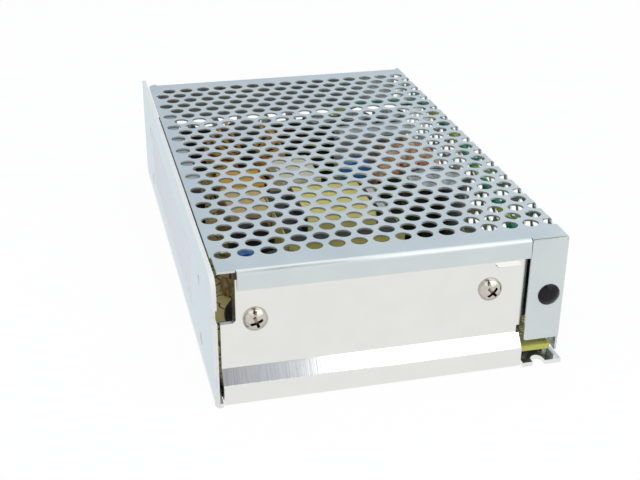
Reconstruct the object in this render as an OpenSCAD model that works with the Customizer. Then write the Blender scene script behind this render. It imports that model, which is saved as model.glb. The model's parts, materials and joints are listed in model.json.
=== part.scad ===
// Enclosed switching power supply: a folded aluminium chassis under a perforated
// steel cover, with the board, line filter, power stage and terminal strip inside.
// Origin at the middle of the underside, +Y towards the terminals, +Z up, millimetres.

/* [Case] */
// Length over the end lip and the terminal end
case_l = 159; // [157:1:172]
// Width over the left wall and the cover
case_w = 97; // [95:1:106]
// Height of the closed case
case_h = 38; // [37.5:0.5:44]
// Sheet thickness of the chassis
chassis_t = 1.3; // [1.1:0.1:1.6]
// Sheet thickness of the cover
cover_t = 0.6; // [0.5:0.1:0.9]
// Outside radius of the cover bends
cover_bend = 0.9; // [0.9:0.1:1.4]
// Outer radius of the folds of the front and rear flanges
flange_bend = 1.4; // [1:0.1:1.7]
// Height of the lip below the joggled end wall
lip_h = 5.7; // [5:0.1:6.4]
// How far the end wall stands behind the lip
joggle = 3.3; // [3:0.1:4]
// Height of the slope between lip and end wall
slope_h = 3.9; // [3.4:0.1:5]
// Depth of the flange along the front of the cover
front_flange_h = 5.5; // [4:0.1:7]
// Depth of the flange above the terminals
rear_flange_h = 13.6; // [8:0.2:14]
// Space at the terminal end that the cover leaves open
terminal_setback = 6.8; // [6:0.1:8]
// Width of the flap at the front right corner
flap_w = 10.7; // [9.5:0.1:12]
// Diameter of the fixing holes in the floor and the left wall
fixing_d = 3.4; // [3:0.1:4.2]
// Distance between the fixing holes along the case
fixing_span = 114; // [104:1:118]
// Distance between the two fixing holes up the left wall
fixing_rise = 18; // [14:0.5:20]

/* [Perforation] */
// Distance between neighbouring holes
hole_pitch = 6.05; // [5.6:0.05:7.5]
// Diameter of each hole
hole_d = 4.5; // [3.5:0.1:4.8]
// Front edge of the cover to the first row
front_margin = 10; // [9:0.1:13]
// Least room behind the last row
rear_margin = 8.4; // [7:0.1:11]
// Left edge of the cover to the first hole
side_margin = 3.45; // [3.2:0.05:4]

/* [Board] */
// Height of the standoffs under the board
standoff_h = 2.1; // [2:0.1:3]
// Thickness of the board
board_t = 1.6; // [1.2:0.1:1.8]
// Height of the bar that carries the transistors
spreader_h = 24; // [21:0.5:25]
// Thickness of that bar
spreader_t = 4.5; // [4:0.1:5]

/* [Terminals] */
// Number of terminals
terminal_count = 7; // [5:1:7]
// Distance between terminals
terminal_pitch = 9.5; // [8.8:0.1:9.6]
// Height of the barriers above the board
barrier_h = 17.5; // [15.5:0.1:18.2]
// Diameter of the terminal screw heads
terminal_head_d = 6.4; // [5.6:0.1:6.8]
// Diameter of the trimmer rotor
rotor_d = 4.9; // [4:0.1:5.4]

/* [Line filter] */
// Outside diameter of the line choke core
line_core_d = 24.4; // [22:0.2:25]
// Wire diameter of the line choke
line_wire_d = 1.2; // [0.8:0.05:1.25]
// Width of the tan capacitor
x_cap_w = 12.5; // [10:0.5:12.5]
// Height of the tan capacitor
x_cap_h = 21; // [17:0.5:23]
// Diameter of the varistor disc
varistor_d = 14; // [10:0.5:14]

/* [Power stage] */
// Diameter of the bulk capacitor
bulk_d = 20; // [17:0.5:20]
// Height of the bulk capacitor
bulk_h = 28.5; // [24:0.5:30]
// Thickness of the transformer core
core_t = 12; // [10:0.5:13]
// Height of the rectifier heat sink
sink_h = 28.5; // [27.6:0.1:29.5]
// Outside diameter of the output choke core
out_core_d = 20; // [18:0.5:20.5]
// Wire diameter of the output choke
out_wire_d = 1.4; // [1:0.05:1.4]
// Diameter of the output capacitors
out_cap_d = 12; // [10:0.5:12.5]
// Height of the output capacitors
out_cap_h = 25; // [20:0.5:28]

/* [Earth lead] */
// Diameter of the lead
lead_d = 2.5; // [1.8:0.1:2.6]

/* [Hidden] */
$fn = 32;
eps = 0.01;
fit = 0.05;
half_w = case_w / 2;
half_l = case_l / 2;
front_y = -half_l;
back_y = half_l;

// Chassis
fold_r = chassis_t / 2 + 0.15;
wall_in_x = -half_w + chassis_t;
wall_mid_x = -half_w + chassis_t / 2;
wall_top = case_h - 0.4;
wall_corner_r = 4;
wall_notch_z = 25;
wall_notch_h = 4;
wall_notch_l = 3.2;
end_y = front_y + joggle;
end_in_y = end_y + chassis_t;
end_x0 = -half_w + 2.5;
end_x1 = half_w - 12.95;
end_notch_w = 4;
end_notch_z = 22.9;
end_notch2_w = 7.75;
end_notch2_z = 30.4;
notch_r = 1.2;
end_top = case_h - 2.6;
cover_clear = 0.2;
right_lip_x = half_w - cover_t - cover_clear;
lip_mid_x = right_lip_x - chassis_t / 2;
right_lip_h = 8;
right_lip_y0 = front_y + 7.5;
right_lip_y1 = back_y - 6;
lip_x1 = end_x1 + 0.8;
tab_gap = 1.65;
slot_w = 3.6;
slot_x = half_w - 6.6;
slot_depth = 3.2;
fixing_x = 30;
fixing_z = 8;

// Cover
cover_left = wall_in_x + 0.3;
ear_left = cover_left + 0.4;
ear_l = 10;
cover_front = end_y - cover_t - cover_clear;
cover_back = back_y - terminal_setback;
front_bend_y = cover_front + cover_bend;
ear_front = min(cover_front + 0.9, front_bend_y - 0.05);
back_bend_y = cover_back - flange_bend;
flange_front_y = cover_front + flange_bend;
flange_top_z = case_h - flange_bend;
right_bend_x = half_w - cover_bend;
top_bend_z = case_h - cover_bend;
roof_z = case_h - cover_t;
flap_x0 = half_w - flap_w;
flange_x0 = end_x0 + end_notch_w + 0.5;
flange_x1 = flap_x0 - 0.2;
relief = 0.3;
corner_r = 2.8;
flap_z0 = 7;
flap_z1 = top_bend_z - 0.2;
flap_top = case_h - 0.4;
flap_back = cover_front + cover_t;
wall_z0 = 2.2;
wall_margin = 6;
wall_in_right = half_w - cover_t;
cover_screw_z = 5;
cover_screw_tip = half_w - right_lip_x + chassis_t + 0.2;
cover_screw_y = [front_y + 29.5, back_y - 29.5];
rivet_x = half_w - 4.6;
rivet_z = 20.8;
rivet_r = 1.95;

// Hole pattern, laid out on the flat sheet and carried round the bend
hole_r = hole_d / 2;
row_pitch = hole_pitch * sqrt(3) / 2;
rows = floor((cover_back - cover_front - front_margin - rear_margin) / row_pitch) + 1;
top_run = right_bend_x - cover_left;
bend_gain = 0.6;
bend_run = (cover_bend - cover_t / 2) * PI / 2 + bend_gain;
wall_run = top_run + bend_run;
flat_end = wall_run + top_bend_z - wall_z0 - wall_margin - hole_r;
columns = floor((flat_end - side_margin) / hole_pitch);

// Board
board_z = chassis_t + standoff_h;
board_top = board_z + board_t;
board_x0 = wall_in_x + 1.5;
board_x1 = right_lip_x - chassis_t - 0.5;
board_y0 = end_in_y + 0.7;
board_y1 = back_y - 5.5;
tongue_x0 = flap_x0 - 0.5;
tongue_y0 = cover_front + 0.1;
stand_spots = [
    [board_x0 + 4.5, board_y0 + 13],
    [board_x1 - 4.5, board_y0 + 14],
    [board_x0 + 4.5, board_y1 - 16],
    [board_x1 - 4.5, board_y1 - 41]
];
m3_r = 1.45;
m3_hole_r = 1.6;
stand_r = 2.75;

// Transistor bar
spreader_z0 = case_h - 27;
spreader_x0 = end_x0 + end_notch_w + 0.1;
spreader_x1 = end_x1 + 2.05;
spreader_y1 = end_in_y + spreader_t;
pad_t = 0.3;
end_screw_x = [end_x0 + 9.05, end_x1 - 8.7];
end_screw_z = [spreader_z0 + 12.6, spreader_z0 + 13.15];
transistor_x = [-24, 14];
tab_t = 1.3;
tab_w = 10;
tab_hole_z = spreader_z0 + 16;
body_drop = 3.6;
body_h = 9;
body_t = 4.5;

// Terminal strip
strip_wall = 1.5;
strip_x0 = board_x0 + 3.5;
lamp_room = 5.2;
strip_room = board_x1 - 13.5 - lamp_room - strip_x0;
terminals = min(terminal_count, floor((strip_room - strip_wall) / terminal_pitch));
strip_l = terminals * terminal_pitch + strip_wall;
strip_y0 = back_y - 16;
strip_y1 = back_y - 0.2;
strip_back_t = 3.5;
strip_seat_z = board_top + 9;
strip_top_z = board_top + barrier_h;
strip_screw_y = strip_y0 + 9.5;
contact_t = 0.8;
clamp_t = 1;
trimmer_x = board_x1 - 9.7;
trimmer_y1 = board_y1 - 1;
trimmer_z = board_top + 4.2;
led_x = trimmer_x - 6.6;

// Film on the left wall
film_y0 = board_y0 + 52.2;
film_y1 = board_y1 - 33;

// Line filter
fuse_x = board_x0 + 4.5;
fuse_y = board_y1 - 34;
fuse_r = 2.6;
fuse_z = board_top + 0.5 + fuse_r + fit;
line_x = -18;
line_y = board_y1 - 34;
line_core_id = 12.4;
line_core_t = 10;
line_turns = 10;
line_base_t = 1.6;
line_z = board_top + line_base_t + line_core_d / 2 + line_wire_d + 0.25;
x_cap_x = -26.9;
x_cap_y = board_y0 + 66.2;
gold_cap = [[-32, board_y0 + 79.2], [-18, board_y0 + 91.2]];
film_cap = [[-14, board_y0 + 70.2], [-1.5, board_y0 + 90.7]];
dipped_cap = [-31.3, board_y0 + 48.2];
// Each disc: across, along, how high it stands on its wires
y_cap_spots = [[board_x1 - 29.4, 20, 10], [-31, board_y0 + 41.2, 7]];
varistor_x = -27.5;
varistor_y = board_y0 + 53.6;
thermistor_spot = [board_x0 + 9.7, board_y0 + 19.2];
bridge_x = board_x0 + 5;
bridge_y = 10;

// Power stage
bulk_x = board_x1 - 15.7;
bulk_y = board_y0 + 53;
sleeve_t = 0.4;
coil_x = -3;
coil_y = board_y0 + 51.2;
core_l = 34;
core_w = 36;
core_leg = 5.5;
core_mid = 11;
core_z = board_top + 9.5;
coil_build = 4.6;
tape_t = 0.3;
sink_x0 = 11.5;
sink_x1 = 37;
sink_y = 28;
sink_t = 1.5;
sink_reach = 9.5;
rect_x = 24;
rect_hole_z = board_top + 21;
out_x = board_x1 - 11.9;
out_y = 19;
out_core_id = 10.4;
out_core_t = 9;
out_slots = 16;
out_base_t = 2.1;
out_guard_y = out_core_t / 2 + out_wire_d + 0.6;
out_guard_t = 1.1;
out_z = board_top + out_base_t + out_core_d / 2 + out_wire_d + 0.2;
out_cap_y = board_y1 - 28;
out_caps = [for (x = [35.7, 22.7, 9.7]) [board_x1 - x, out_cap_y]];
control_spot = [-4, board_y0 + 17.2];
optocoupler_spot = [6, 14];
// Each small capacitor: across, behind the front edge of the board, diameter, height
small_caps = [
    [12, 19.2, 6.3, 12], [board_x0 + 18.7, 15.2, 8, 15], [24, 24.2, 8, 16],
    [35, 27.2, 6.3, 11], [-24, 27.2, 10, 20]
];
resistor_spots = [
    [-12, board_y0 + 20.7, 90], [-16, board_y0 + 20.7, 90], [30, board_y0 + 14.2, 0],
    [-36.6, board_y0 + 48.2, 90], [4, 24, 0], [board_x1 - 5.7, 2, 90]
];

// Earth lead, from the board beside the strip along the right wall to the flap
lug_z = rivet_z + 5.2;
lug_x = rivet_x + 0.6;
lug_len = 8;
lug_plate = 0.8;
run_x = wall_in_right - lead_d / 2 - 0.2;
run_z = roof_z - lead_d / 2 - 0.4;
lug_end_y = flap_back + lug_plate + lug_len;
lead_route = [
    [11.5, strip_y0 - 3.5, board_top + fit],
    [11.5, strip_y0 - 3.5, board_top + 2],
    [11.5, strip_y0 - 3.5, board_top + 4.5],
    [14, strip_y0 - 3, 17],
    [19.5, strip_y0 - 2.5, 24],
    [26.5, strip_y0 - 2.5, 28.5],
    [35, strip_y0 - 4, 30],
    [run_x - 1.5, 52, 31.5],
    [run_x, 42, run_z - 1],
    [run_x, 28, run_z],
    [run_x, 14, run_z],
    [run_x, 2, run_z - 0.8],
    [run_x, -10, 32.8],
    [run_x, -22, 30.4],
    [run_x, -34, 27.8],
    [run_x, -46, 26],
    [run_x - 0.3, -54, 25.7],
    [lug_x, lug_end_y + 6, lug_z],
    [lug_x, lug_end_y + 3, lug_z],
    [lug_x, lug_end_y + fit, lug_z]
];
lead_steps = 4;

// Box between two corners
module block(a, b) {
    translate(a)
        cube(b - a);
}

// Rectangle between two corners with round corners
module round_rect(a, b, r) {
    translate([a[0] + r, a[1]])
        square([b[0] - a[0] - 2 * r, b[1] - a[1]]);
    translate([a[0], a[1] + r])
        square([b[0] - a[0], b[1] - a[1] - 2 * r]);
    for (x = [a[0] + r, b[0] - r], y = [a[1] + r, b[1] - r])
        translate([x, y])
            circle(r = r);
}

// Cylinder along +Y
module along_y(r, l, y = 0) {
    translate([0, y, 0])
        rotate([-90, 0, 0])
            cylinder(r = r, h = l);
}

// Cylinder along +X
module along_x(r, l, x = 0) {
    translate([x, 0, 0])
        rotate([0, 90, 0])
            cylinder(r = r, h = l);
}

// Outline drawn in the X-Z plane, extruded from y0 to y1
module span_y(y0, y1) {
    translate([0, y1, 0])
        rotate([90, 0, 0])
            linear_extrude(y1 - y0)
                children();
}

// Outline drawn in the Y-Z plane, extruded from x0 to x1
module span_x(x0, x1) {
    translate([x0, 0, 0])
        rotate([90, 0, 90])
            linear_extrude(x1 - x0)
                children();
}

function unit(v) = v / norm(v);
function left_of(v) = [-v[1], v[0]];

// Length that a bend of centre line radius r takes from each leg at point i
function bend_cut(p, i, r) =
    (i <= 0 || i >= len(p) - 1) ? 0
    : r * tan(acos(unit(p[i] - p[i - 1]) * unit(p[i + 1] - p[i])) / 2);

// Section of a sheet of thickness t folded along the centre line p
module folded(p, t, r) {
    for (i = [0 : len(p) - 2]) {
        d = unit(p[i + 1] - p[i]);
        a = p[i] + d * bend_cut(p, i, r);
        b = p[i + 1] - d * bend_cut(p, i + 1, r);
        n = left_of(d) * t / 2;
        polygon([a + n, a - n, b - n, b + n]);
    }
    for (i = [1 : len(p) - 2]) {
        d0 = unit(p[i] - p[i - 1]);
        d1 = unit(p[i + 1] - p[i]);
        side = d0[0] * d1[1] - d0[1] * d1[0] > 0 ? 1 : -1;
        c = p[i] - d0 * bend_cut(p, i, r) + left_of(d0) * side * r;
        e0 = -left_of(d0) * side * 4 * r;
        e1 = -left_of(d1) * side * 4 * r;
        intersection() {
            translate(c)
                difference() {
                    circle(r = r + t / 2);
                    circle(r = r - t / 2);
                }
            polygon([c, c + e0, c + e1]);
        }
    }
}

// Quarter of a sheet bend about the origin, in the first quadrant
module quarter_bend(r, t) {
    difference() {
        intersection() {
            circle(r = r);
            square(r);
        }
        circle(r = r - t);
    }
}

// Cross recess that sinks into the top of a screw head lying at z = 0
module cross_recess(size, depth) {
    for (a = [0, 90])
        rotate(a)
            translate([-size / 2, -size / 9, -depth])
                cube([size, size / 4.5, depth + 1]);
}

// Pan head screw along Z with the seat of its head at z = 0 and its shank below
module pan_screw(shank_r, shank_l, head_r, head_h, turn = 20, share = 0.55) {
    crown = head_h * share;
    dome_r = (head_r * head_r + crown * crown) / (2 * crown);
    difference() {
        union() {
            intersection() {
                cylinder(r = head_r, h = head_h);
                translate([0, 0, head_h - dome_r])
                    sphere(r = dome_r, $fn = 64);
            }
            translate([0, 0, -shank_l])
                cylinder(r = shank_r, h = shank_l);
        }
        translate([0, 0, head_h])
            rotate(turn)
                cross_recess(head_r * 1.05, head_h * 0.62);
    }
}

// Toroid core with chamfered edges, its axis along Y
module toroid(od, id, t) {
    c = 0.6;
    rotate([-90, 0, 0])
        rotate_extrude($fn = 64)
            polygon([
                [id / 2, -t / 2 + c], [id / 2 + c, -t / 2], [od / 2 - c, -t / 2], [od / 2, -t / 2 + c],
                [od / 2, t / 2 - c], [od / 2 - c, t / 2], [id / 2 + c, t / 2], [id / 2, t / 2 - c]
            ]);
}

// One turn of wire round a toroid section, in the plane at angle a about Y
module toroid_turn(od, id, t, wire, a) {
    g = 0.1;
    rotate([0, -a, 0])
        translate([0, 0, -wire / 2])
            linear_extrude(wire)
                difference() {
                    round_rect(
                        [id / 2 - g - wire, -t / 2 - g - wire],
                        [od / 2 + g + wire, t / 2 + g + wire], wire
                    );
                    translate([id / 2 - g, -t / 2 - g])
                        square([(od - id) / 2 + 2 * g, t + 2 * g]);
                }
}

// Can of an electrolytic capacitor with a scored vent in its top
module can(d, h) {
    difference() {
        cylinder(d = d, h = h);
        for (a = [30, 90, 150])
            rotate(a)
                translate([-d * 0.36, -0.2, h - 0.25])
                    cube([d * 0.72, 0.4, 1]);
    }
}

// Shrink sleeve over a can, turned in over the edge of its top
module sleeve(d, h, t) {
    rotate_extrude($fn = 48)
        polygon([
            [d / 2 + fit, 0], [d / 2 + t, 0], [d / 2 + t, h + t], [d / 2 - 1.2, h + t],
            [d / 2 - 1.2, h + fit], [d / 2 + fit, h + fit]
        ]);
}

// Disc component standing on two wires, centred on X, its face along Y
module disc_part(d, t, lift) {
    edge = t / 4;
    translate([0, 0, lift + d / 2])
        rotate([-90, 0, 0])
            rotate_extrude($fn = 48)
                polygon([
                    [0, -t / 2], [d / 2 - edge, -t / 2], [d / 2, -t / 2 + edge],
                    [d / 2, t / 2 - edge], [d / 2 - edge, t / 2], [0, t / 2]
                ]);
    for (x = [-d / 4, d / 4])
        translate([x, 0, 0])
            cylinder(r = 0.4, h = lift + d / 4);
}

// Metal tab and wires of a three-legged power device, mounting face at y = 0, board at z = 0
module power_tab(hole_z) {
    foot = hole_z - body_drop - body_h;
    difference() {
        block([-tab_w / 2, 0, foot], [tab_w / 2, tab_t, hole_z + 2.9]);
        translate([0, 0, hole_z])
            along_y(1.8, tab_t + 2, -1);
    }
    for (x = [-2.54, 0, 2.54])
        block([x - 0.4, tab_t + 0.8, 0], [x + 0.4, tab_t + 1.3, foot]);
}

// Moulded body of the same device
module power_body(hole_z) {
    top = hole_z - body_drop;
    block([-tab_w / 2, tab_t, top - body_h], [tab_w / 2, body_t, top]);
}

module chassis() {
    t = chassis_t;
    color([0.86, 0.86, 0.86])
        difference() {
            union() {
                span_y(front_y, back_y)
                    folded([[wall_mid_x, wall_top], [wall_mid_x, t / 2], [end_x0 - 0.3, t / 2]], t, fold_r);
                block([end_x0 - 1, end_y, 0], [right_lip_x - 4, back_y, t]);
                span_y(right_lip_y0, right_lip_y1)
                    folded([[0, t / 2], [lip_mid_x, t / 2], [lip_mid_x, right_lip_h]], t, fold_r);
                end_wall();
                block([end_x1 + tab_gap, front_y, 0], [half_w, right_lip_y0 - 1, t]);
                block([end_x1 + tab_gap, right_lip_y1 + 1, 0], [half_w, back_y, t]);
            }
            left_wall_cuts();
            for (y = [front_y, back_y])
                end_slot(y);
            for (x = [-fixing_x, fixing_x], y = [-fixing_span / 2, fixing_span / 2])
                translate([x, y, -1])
                    cylinder(d = fixing_d, h = t + 2);
            for (z = [fixing_z, fixing_z + fixing_rise], y = [-fixing_span / 2, fixing_span / 2])
                translate([0, y, z])
                    along_x(fixing_d / 2, t + 2, -half_w - 1);
            for (y = cover_screw_y)
                translate([0, y, cover_screw_z])
                    cover_screw_room();
        }
}

// Round top corner and small notch at the front edge of the left wall
module left_wall_cuts() {
    r = wall_corner_r;
    x0 = -half_w - 1;
    x1 = wall_in_x + 0.2;
    difference() {
        block([x0, front_y - 1, wall_top - r], [x1, front_y + r, wall_top + 1]);
        translate([0, front_y + r, wall_top - r])
            along_x(r, x1 - x0 + 2, x0 - 1);
    }
    block([x0, front_y - 1, wall_notch_z], [x1, front_y + wall_notch_l, wall_notch_z + wall_notch_h]);
}

// Lip, slope and end wall in one section, with the two top corners cut away
module end_wall() {
    t = chassis_t;
    difference() {
        span_x(end_x0, lip_x1)
            folded([
                [end_y + 6, t / 2], [front_y + t / 2, t / 2], [front_y + t / 2, lip_h],
                [end_y + t / 2, lip_h + slope_h], [end_y + t / 2, end_top]
            ], t, fold_r);
        span_y(end_y - 1, end_in_y + 1)
            round_rect([end_x0 - 4, end_notch_z], [end_x0 + end_notch_w, case_h + 4], notch_r);
        span_y(end_y - 1, end_in_y + 1)
            round_rect([end_x1 - end_notch2_w, end_notch2_z], [end_x1 + 4, case_h + 4], notch_r);
        block([end_x1, end_y - 1, lip_h + slope_h], [lip_x1 + 1, end_in_y + 1, case_h]);
        for (i = [0, 1])
            translate([end_screw_x[i], 0, end_screw_z[i]])
                along_y(m3_hole_r, t + 2, end_y - 1);
    }
}

// Open slot for a fixing screw in the edge of the floor
module end_slot(y) {
    inward = y < 0 ? 1 : -1;
    r = slot_w / 2;
    translate([slot_x, y + inward * (slot_depth - r), -1]) {
        cylinder(r = r, h = chassis_t + 2);
        translate([-r, inward > 0 ? -slot_depth - 1 : 0, 0])
            cube([slot_w, slot_depth + 1, chassis_t + 2]);
    }
}

// Flush screw of the cover, its axis along X and its head at the outside
module cover_screw_room() {
    along_x(m3_r + fit, 8, half_w - 7);
    translate([half_w - 1.6, 0, 0])
        rotate([0, 90, 0])
            cylinder(r1 = m3_r + fit, r2 = 2.75 + fit, h = 1.6 + eps);
}

module top_cover() {
    color([0.74, 0.78, 0.82])
        difference() {
            union() {
                translate([0, 0, roof_z])
                    linear_extrude(cover_t)
                        cover_top();
                translate([right_bend_x, 0, top_bend_z])
                    span_y(front_bend_y + 0.2, cover_back)
                        quarter_bend(cover_bend, cover_t);
                translate([wall_in_right, 0, 0])
                    rotate([90, 0, 90])
                        linear_extrude(cover_t)
                            cover_wall();
                front_flange();
                rear_flange();
                front_flap();
            }
            edge_holes();
            for (y = cover_screw_y)
                translate([0, y, cover_screw_z])
                    cover_screw_room();
            translate([rivet_x, 0, rivet_z])
                along_y(rivet_r + fit, cover_t + 2, cover_front - 1);
        }
}

// Place of column j in row i, measured along the flat sheet from the left edge
function column_at(i, j) = side_margin + hole_pitch * (j + 0.5 * (i % 2));
function row_at(i) = cover_front + front_margin + row_pitch * i;
// Height on the right wall of a place measured along the flat sheet
function wall_height(s) = top_bend_z - (s - wall_run);

// Flat of the top with its holes
module cover_top() {
    difference() {
        union() {
            translate([ear_left, front_bend_y])
                square([right_bend_x - ear_left, back_bend_y - front_bend_y]);
            translate([cover_left, cover_front + ear_l])
                square([1, back_bend_y - cover_front - ear_l]);
            translate([ear_left, ear_front])
                square([flange_x0 - relief - ear_left, front_bend_y - ear_front + eps]);
            translate([flange_x1 + relief, flap_back + 0.15])
                square([right_bend_x - flange_x1 - relief, front_bend_y - flap_back - 0.15]);
            intersection() {
                translate([cover_left + corner_r, cover_back - corner_r])
                    circle(r = corner_r);
                translate([cover_left, back_bend_y - 1])
                    square([corner_r, flange_bend + 1]);
            }
            translate([right_bend_x - 1, back_bend_y])
                square([1, flange_bend]);
        }
        translate([flange_x0 - relief, cover_front - 1])
            square([flange_x1 - flange_x0 + 2 * relief, flange_bend + 1]);
        difference() {
            translate([cover_left - 1, cover_back - corner_r])
                square([corner_r + 1, corner_r + 1]);
            translate([cover_left + corner_r, cover_back - corner_r])
                circle(r = corner_r);
        }
        for (i = [0 : rows - 1], j = [0 : columns])
            if (column_at(i, j) + hole_r < top_run)
                translate([cover_left + column_at(i, j), row_at(i)])
                    circle(r = hole_r, $fn = 24);
    }
}

// Flat of the right wall with its holes, drawn along Y and Z
module cover_wall() {
    difference() {
        translate([front_bend_y, wall_z0])
            square([cover_back - front_bend_y, top_bend_z - wall_z0]);
        for (i = [0 : rows - 1], j = [0 : columns])
            if (column_at(i, j) - hole_r > wall_run && column_at(i, j) < flat_end)
                translate([row_at(i), wall_height(column_at(i, j))])
                    circle(r = hole_r, $fn = 24);
    }
}

// Holes of the pattern that run into the bend at the right edge
module edge_holes() {
    for (i = [0 : rows - 1], j = [0 : columns]) {
        s = column_at(i, j);
        if (s + hole_r >= top_run && s - hole_r < top_run)
            translate([cover_left + s, row_at(i), case_h - cover_t - 0.5])
                cylinder(r = hole_r, h = cover_t + 1);
        if (s + hole_r > wall_run && s - hole_r <= wall_run)
            translate([0, row_at(i), wall_height(s)])
                along_x(hole_r, cover_t + 1, wall_in_right - fit);
    }
}

module front_flange() {
    translate([0, flange_front_y, flange_top_z])
        span_x(flange_x0, flange_x1)
            mirror([1, 0])
                quarter_bend(flange_bend, cover_t);
    block([flange_x0, cover_front, case_h - front_flange_h], [flange_x1, flap_back, flange_top_z]);
}

module rear_flange() {
    x0 = cover_left + corner_r + relief;
    x1 = right_bend_x - 1 - relief;
    translate([0, back_bend_y, flange_top_z])
        span_x(x0, x1)
            quarter_bend(flange_bend, cover_t);
    block([x0, cover_back - cover_t, case_h - rear_flange_h], [x1, cover_back, flange_top_z]);
}

// Flap bent from the right wall across the front corner
module front_flap() {
    translate([right_bend_x, front_bend_y, flap_z0])
        linear_extrude(flap_z1 - flap_z0)
            mirror([0, 1])
                quarter_bend(cover_bend, cover_t);
    span_y(cover_front, flap_back)
        difference() {
            round_rect([flap_x0, flap_z0], [right_bend_x + 3, flap_top], 0.8);
            translate([right_bend_x, flap_z0 - 1])
                square([4, case_h]);
        }
}

module end_wall_screws() {
    color([0.82, 0.8, 0.76])
        for (i = [0, 1])
            translate([end_screw_x[i], end_y, end_screw_z[i]])
                rotate([90, 0, 0])
                    pan_screw(m3_r, chassis_t + spreader_t - 0.2, 3.25, 2.4, 20 + 25 * i, 0.75);
}

module cover_screws() {
    color([0.7, 0.72, 0.74])
        for (y = cover_screw_y)
            translate([half_w, y, cover_screw_z])
                rotate([0, 90, 0])
                    difference() {
                        union() {
                            translate([0, 0, -cover_screw_tip])
                                cylinder(r = m3_r, h = cover_screw_tip - 1);
                            translate([0, 0, -1.6])
                                cylinder(r1 = m3_r, r2 = 2.75, h = 1.6);
                        }
                        cross_recess(2.9, 1);
                    }
}

// Domed push rivet with spread legs behind the flap
module flap_rivet() {
    seat = lug_plate + cover_t;
    color([0.05, 0.05, 0.06])
        translate([rivet_x, cover_front, rivet_z])
            rotate([90, 0, 0])
                union() {
                    intersection() {
                        cylinder(r = 3.15, h = 1.5);
                        translate([0, 0, 1.5 - 4.4])
                            sphere(r = 4.4, $fn = 64);
                    }
                    translate([0, 0, -seat])
                        cylinder(r = rivet_r, h = seat);
                    translate([0, 0, -seat - 1])
                        cylinder(r1 = 2.5, r2 = 2.3, h = 1);
                    translate([0, 0, -seat - 4])
                        cylinder(r1 = 1.3, r2 = 2.5, h = 3);
                }
}

// Film on the inside of the left wall, turned in under the board and under the cover
module insulation_film() {
    t = 0.4;
    x = wall_in_x + 0.1 + t / 2;
    color([0.85, 0.86, 0.88])
        span_y(film_y0, film_y1)
            folded([
                [wall_in_x + 5.5, roof_z - 0.4], [x, roof_z - 0.4],
                [x, chassis_t + t / 2 + fit], [wall_in_x + 9, chassis_t + t / 2 + fit]
            ], t, 0.7);
}

module circuit_board() {
    color([0.72, 0.6, 0.36])
        difference() {
            union() {
                block([board_x0, board_y0, board_z], [board_x1, board_y1, board_top]);
                block([tongue_x0, tongue_y0, board_z], [board_x1, board_y0 + 1, board_top]);
            }
            for (s = stand_spots)
                translate([s[0], s[1], board_z - 1])
                    cylinder(r = m3_hole_r, h = board_t + 2);
        }
}

module board_standoffs() {
    color([0.8, 0.72, 0.4])
        for (s = stand_spots)
            translate([s[0], s[1], chassis_t])
                difference() {
                    cylinder(r = stand_r, h = standoff_h);
                    translate([0, 0, -1])
                        cylinder(r = m3_r + fit, h = standoff_h + 2);
                }
}

module board_screws() {
    color([0.75, 0.75, 0.74])
        for (s = stand_spots)
            translate([s[0], s[1], board_top])
                pan_screw(m3_r, board_t + standoff_h - 0.2, 2.75, 1.9);
}

module heat_spreader() {
    color([0.8, 0.8, 0.8])
        difference() {
            translate([spreader_x0, end_in_y, spreader_z0])
                cube([spreader_x1 - spreader_x0, spreader_t, spreader_h]);
            for (i = [0, 1])
                translate([end_screw_x[i], 0, end_screw_z[i]])
                    along_y(m3_r + fit, spreader_t + 2, end_in_y - 1);
            for (x = transistor_x)
                translate([x, 0, tab_hole_z])
                    along_y(m3_r + fit, spreader_t + 2, end_in_y + 1);
        }
}

// Black insulating film behind the bar, proud of its right end
module spreader_film() {
    t = 0.4;
    color([0.12, 0.12, 0.16])
        span_y(spreader_y1, spreader_y1 + t)
            round_rect([spreader_x1 - 9, spreader_z0], [spreader_x1 + 3.4, roof_z - 1], 1);
}

// Grey insulating pads under the transistors
module transistor_pads() {
    color([0.62, 0.62, 0.6])
        for (x = transistor_x)
            translate([x, spreader_y1, tab_hole_z])
                difference() {
                    block([-5.6, 0, -13.4], [5.6, pad_t, 3.6]);
                    along_y(1.8, pad_t + 2, -1);
                }
}

module transistor_tabs() {
    color([0.75, 0.74, 0.72])
        for (x = transistor_x)
            translate([x, spreader_y1 + pad_t, board_top])
                power_tab(tab_hole_z - board_top);
}

module transistor_bodies() {
    color([0.1, 0.1, 0.1])
        for (x = transistor_x)
            translate([x, spreader_y1 + pad_t, board_top])
                power_body(tab_hole_z - board_top);
}

module transistor_screws() {
    color([0.75, 0.75, 0.74])
        for (x = transistor_x)
            translate([x, spreader_y1 + pad_t + tab_t, tab_hole_z])
                rotate([-90, 0, 0])
                    pan_screw(m3_r, tab_t + pad_t + 3, 2.7, 1.9);
}

// Place of terminal i along the strip
function terminal_at(i) = strip_x0 + strip_wall + (i + 0.5) * terminal_pitch - strip_wall / 2;

module terminal_block() {
    color([0.09, 0.09, 0.09])
        difference() {
            union() {
                block([strip_x0, strip_y0, board_top], [strip_x0 + strip_l, strip_y1, strip_seat_z]);
                translate([strip_x0, strip_y0, strip_seat_z - 1])
                    cube([strip_l, strip_back_t, strip_top_z - strip_seat_z + 1]);
                for (i = [0 : terminals])
                    translate([strip_x0 + i * terminal_pitch, strip_y0, strip_seat_z - 1])
                        cube([strip_wall, strip_y1 - strip_y0, strip_top_z - strip_seat_z + 1]);
            }
            for (i = [0 : terminals - 1])
                translate([terminal_at(i), strip_screw_y, strip_seat_z - 5])
                    cylinder(r = 1.75, h = 6);
        }
}

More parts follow.
